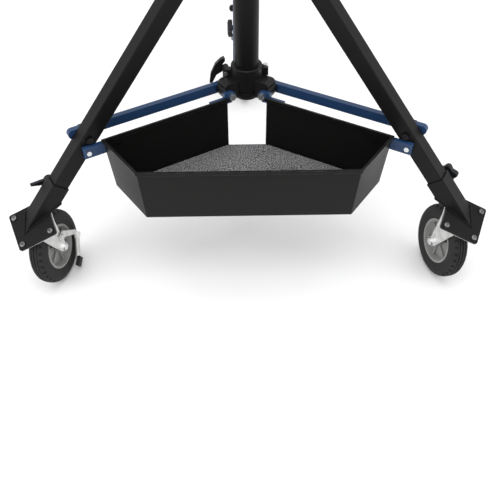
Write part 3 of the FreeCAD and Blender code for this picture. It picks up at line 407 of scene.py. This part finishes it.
# %% Lobed head and stud
def round_bar(bm, radius, low, high, segments=24):
    """Closed bar along z between two heights."""
    middle = Matrix.Translation((0, 0, (low + high) / 2))
    return bmesh.ops.create_cone(bm, cap_ends=True, segments=segments, radius1=radius, radius2=radius,
                                 depth=high - low, matrix=middle)


KNOB_RADIUS = 0.0262
KNOB_LOBE = 0.145  # how far the lobes stand out, as a part of the radius
KNOB_TALL = 0.0155
KNOB_EDGE = 0.0042


def star_knob(name, place, body, stud):
    bm = bmesh.new()
    disc = bmesh.ops.create_circle(bm, cap_ends=True, radius=KNOB_RADIUS, segments=80)
    for vert in disc["verts"]:
        vert.co.xy *= 1 + KNOB_LOBE * math.cos(5 * math.atan2(vert.co.y, vert.co.x))
    raised = bmesh.ops.extrude_face_region(bm, geom=bm.faces[:])
    top = [item for item in raised["geom"] if isinstance(item, bmesh.types.BMFace)]
    bmesh.ops.translate(bm, verts=top[0].verts[:], vec=(0, 0, KNOB_TALL))
    rims = {edge for face in bm.faces if len(face.verts) > 4 for edge in face.edges}
    bmesh.ops.bevel(bm, geom=list(rims), offset=KNOB_EDGE, segments=4, **BEVEL)
    crown = max(bm.faces, key=lambda face: face.calc_center_median().z)
    bmesh.ops.inset_individual(bm, faces=[crown], thickness=0.004, depth=0.0)
    bmesh.ops.inset_individual(bm, faces=[crown], thickness=0.0015, depth=0.0016)
    round_bar(bm, 0.009, -0.005, 0.001)
    bm.transform(place)
    make_piece(name + "_head", bm, knob_black, body, [name], 50)
    steel = bmesh.new()
    round_bar(steel, 0.004, -stud, -0.0045)
    steel.transform(place)
    make_piece(name + "_stud", steel, bolt_zinc, body)


for name, joint, body, stud in (("riser_knob", "riser_lock_turn", "riser_lock", 0.0275),
                                ("receiver_knob", "receiver_lock_turn", "receiver_lock", 0.032),
                                ("foot_knob_right", "right_lock_turn", "right_lock", 0.0195),
                                ("foot_knob_rear", "rear_lock_turn", "rear_lock", 0.0195)):
    star_knob(name, facing(joints[joint]["pos_m"], joints[joint]["axis"]), body, stud)


# %% [markdown]
# ## Lining of the tray
# The mat is cut a few millimetres smaller than the tray's floor and lies flat, with a soft top edge and the
# slight unevenness of pressed crumb. Its outline is read from the plain node, so the fit is the tray's own.

# %% Cut the mat
def slice_all(bm, point, normal):
    everything = bm.verts[:] + bm.edges[:] + bm.faces[:]
    bmesh.ops.bisect_plane(bm, geom=everything, plane_co=point, plane_no=normal)


CUT = 0.0125  # between the slices that let the mat's top sway


def mat_piece():
    bm = bmesh.new()
    bm.from_mesh(nodes["tray_mat"].data)
    bmesh.ops.remove_doubles(bm, verts=bm.verts, dist=1e-5)
    bmesh.ops.dissolve_limit(bm, angle_limit=0.01, verts=bm.verts, edges=bm.edges)
    top = max(vert.co.z for vert in bm.verts)
    low = min(vert.co.y for vert in bm.verts)
    rim = [edge for edge in bm.edges if all(abs(vert.co.z - top) < 1e-4 for vert in edge.verts)]
    bmesh.ops.bevel(bm, geom=rim, offset=0.0012, segments=3, **BEVEL)
    for step in range(1, 24):
        slice_all(bm, (0, low + step * CUT, 0), (0, 1, 0))
    for step in range(-26, 27):
        slice_all(bm, (step * CUT, 0, 0), (1, 0, 0))
    for vert in bm.verts:
        if vert.co.z > top - 2e-4:
            x, y = vert.co.xy
            sway = math.sin(31 * x + 3) * math.sin(43 * y) + 0.6 * math.sin(97 * x - 61 * y)
            vert.co.z += 0.0004 * sway - 0.0006
    return make_piece("lining_mat", bm, lining, "stand", ["tray_mat"], 60)


mat_piece()


# %% [markdown]
# ## Bolt heads
# The tray's screws and the caster plates' bolts have domed heads with a six-sided socket; here the heads are
# built for the caster plates' bolts. A dome is a short bar with a deep bevel; its socket is a hexagon bridged
# to the open top and sunk below it.

# %% Domed socket heads
def dome(bm, place, radius, tall):
    """Button head whose seat is the place's own plane; z points out of the work."""
    head = bmesh.new()
    round_bar(head, radius, 0, tall)
    rim = [edge for edge in head.edges if all(vert.co.z > tall - 1e-6 for vert in edge.verts)]
    bmesh.ops.bevel(head, geom=rim, offset=tall * 0.7, segments=4, **BEVEL)
    cap = max(head.faces, key=lambda face: face.calc_center_median().z)
    bmesh.ops.delete(head, geom=[cap], context="FACES_ONLY")
    mouth = [edge for edge in head.edges if edge.is_boundary]
    socket = bmesh.ops.create_circle(head, radius=radius * 0.42, segments=6,
                                     matrix=Matrix.Translation((0, 0, tall)))
    hexagon = list({edge for vert in socket["verts"] for edge in vert.link_edges})
    bmesh.ops.bridge_loops(head, edges=mouth + hexagon)
    well = bmesh.ops.extrude_edge_only(head, edges=hexagon)
    floor = [item for item in well["geom"] if isinstance(item, bmesh.types.BMVert)]
    bmesh.ops.translate(head, verts=floor, vec=(0, 0, -tall * 0.6))
    bmesh.ops.contextual_create(head, geom=floor)
    head.transform(place)
    spare = bpy.data.meshes.new("spare_head")
    head.to_mesh(spare)
    head.free()
    bm.from_mesh(spare)
    bpy.data.meshes.remove(spare)


LEGS = {"left": (210, 1), "right": (330, -1), "rear": (90, -1)}  # heading in degrees, side of its front
PLATE_TILT = 30
PLATE_SWING = 36
PLATE_TURN = 46
PLATE_BOLT = 0.039  # from the plate's middle to a bolt, along each side


def about_z(degrees):
    return Matrix.Rotation(math.radians(degrees), 4, "Z")


def plate_place(leg):
    """Frame on the caster plate's face, squared up with the plate's own sides."""
    heading, front = LEGS[leg]
    swing, turn = (0, 0) if leg == "rear" else (PLATE_SWING * front, PLATE_TURN * front)
    tilted = about_z(heading) @ about_z(swing) @ Matrix.Rotation(math.radians(PLATE_TILT), 4, "Y")
    return Matrix.Translation(Vector(joints[leg + "_swivel"]["pos_m"])) @ tilted @ about_z(-turn)


# %% Heads on the caster plates
for leg in LEGS:
    heads = bmesh.new()
    for x in (-PLATE_BOLT, PLATE_BOLT):
        for y in (-PLATE_BOLT, PLATE_BOLT):
            dome(heads, plate_place(leg) @ Matrix.Translation((x, y, 0.0001)), radius=0.0074, tall=0.0048)
    make_piece("plate_heads_" + leg, heads, steel_dark, leg + "_foot", (), 35)

# %% [markdown]
# ## Weld beads
# Each foot's square sleeve is welded all round to its tilted caster plate. The bead follows the line where
# the four flat sides meet the plate, so it is found from the leg's own axis. A hand-laid bead is a row of
# small overlapping puddles, and a row of balls of slightly different sizes looks just like it.

# %% Lay the beads
chance = random.Random(7)
ARM_BOLT = (0.453, 0, 0.406)  # on the leg's middle line, in the leg's own frame
SLEEVE_HALF = 0.0230


def bead(bm, start, end, radius=0.0026, step=0.0026):
    along = end - start
    count = max(2, round(along.length / step))
    for i in range(count + 1):
        size = radius * chance.uniform(0.85, 1.12)
        spot = start + along * (i / count) + Vector(chance.uniform(-1, 1) for _ in range(3)) * 0.0002
        ball = Matrix.Translation(spot) @ Matrix.Scale(size, 4)
        bmesh.ops.create_uvsphere(bm, u_segments=8, v_segments=5, radius=1, matrix=ball)


def sleeve_corners(leg):
    """Where the sleeve's four long edges meet the plate's face."""
    down = Vector(joints[leg + "_foot_slide"]["axis"])
    side = Vector((0, 0, 1)).cross(down).normalized()
    outer = down.cross(side)
    middle = about_z(LEGS[leg][0]) @ Vector(ARM_BOLT)
    plate = Vector(joints[leg + "_swivel"]["pos_m"])
    normal = Vector(joints[leg + "_swivel"]["axis"])
    corners = []
    for a, b in ((1, 1), (1, -1), (-1, -1), (-1, 1)):
        point = middle + outer * (a * SLEEVE_HALF) + side * (b * SLEEVE_HALF)
        corners.append(point + down * ((plate - point).dot(normal) / down.dot(normal)))
    return corners, normal


for leg in LEGS:
    bm = bmesh.new()
    corners, normal = sleeve_corners(leg)
    for i in range(4):
        bead(bm, corners[i - 1] + normal * 0.0008, corners[i] + normal * 0.0008)
    make_piece("weld_" + leg, bm, tube_black, leg + "_foot", (), 60)

# %% [markdown]
# ## Floor and light
# A pale sweep of floor and a white surround, with one large soft lamp overhead, a wide one from the left and
# a weaker one from the right, as in a plain product studio. Large lamps draw long soft highlights on the
# tubes.

# %% Floor, lamps and surround
bm = bmesh.new()
bmesh.ops.create_grid(bm, x_segments=1, y_segments=1, size=14)
floor_mesh = bpy.data.meshes.new("floor")
bm.to_mesh(floor_mesh)
bm.free()
floor = bpy.data.objects.new("floor", floor_mesh)
bpy.context.collection.objects.link(floor)
pale = Finish("pale_floor")
wear(floor, pale.close(pale.blend(pale.noise(3, 2), (0.90, 0.90, 0.90), (0.93, 0.93, 0.93)), 0.6))


def lamp(name, spot, aim, size, power):
    light = bpy.data.lights.new(name, "AREA")
    light.shape = "RECTANGLE"
    light.size, light.size_y = size
    light.energy = power
    thing = bpy.data.objects.new(name, light)
    thing.location = spot
    thing.rotation_euler = (Vector(aim) - Vector(spot)).to_track_quat("-Z", "Y").to_euler()
    bpy.context.collection.objects.link(thing)
    print(name, power, "W")


lamp("overhead", (0, -0.6, 3.6), (0, 0, 0.3), (3.2, 3.2), 60)
lamp("left_wide", (-3.2, -2.0, 1.9), (0, 0, 0.4), (2.4, 2.4), 55)
lamp("right_wide", (3.2, -1.6, 1.6), (0, 0, 0.4), (2.0, 2.4), 32)
world = bpy.data.worlds.new("surround")
bpy.context.scene.world = world
world.use_nodes = True
world.node_tree.nodes["Background"].inputs["Color"].default_value = (1, 1, 1, 1)
world.node_tree.nodes["Background"].inputs["Strength"].default_value = 0.85
bpy.context.scene.view_settings.view_transform = "Standard"
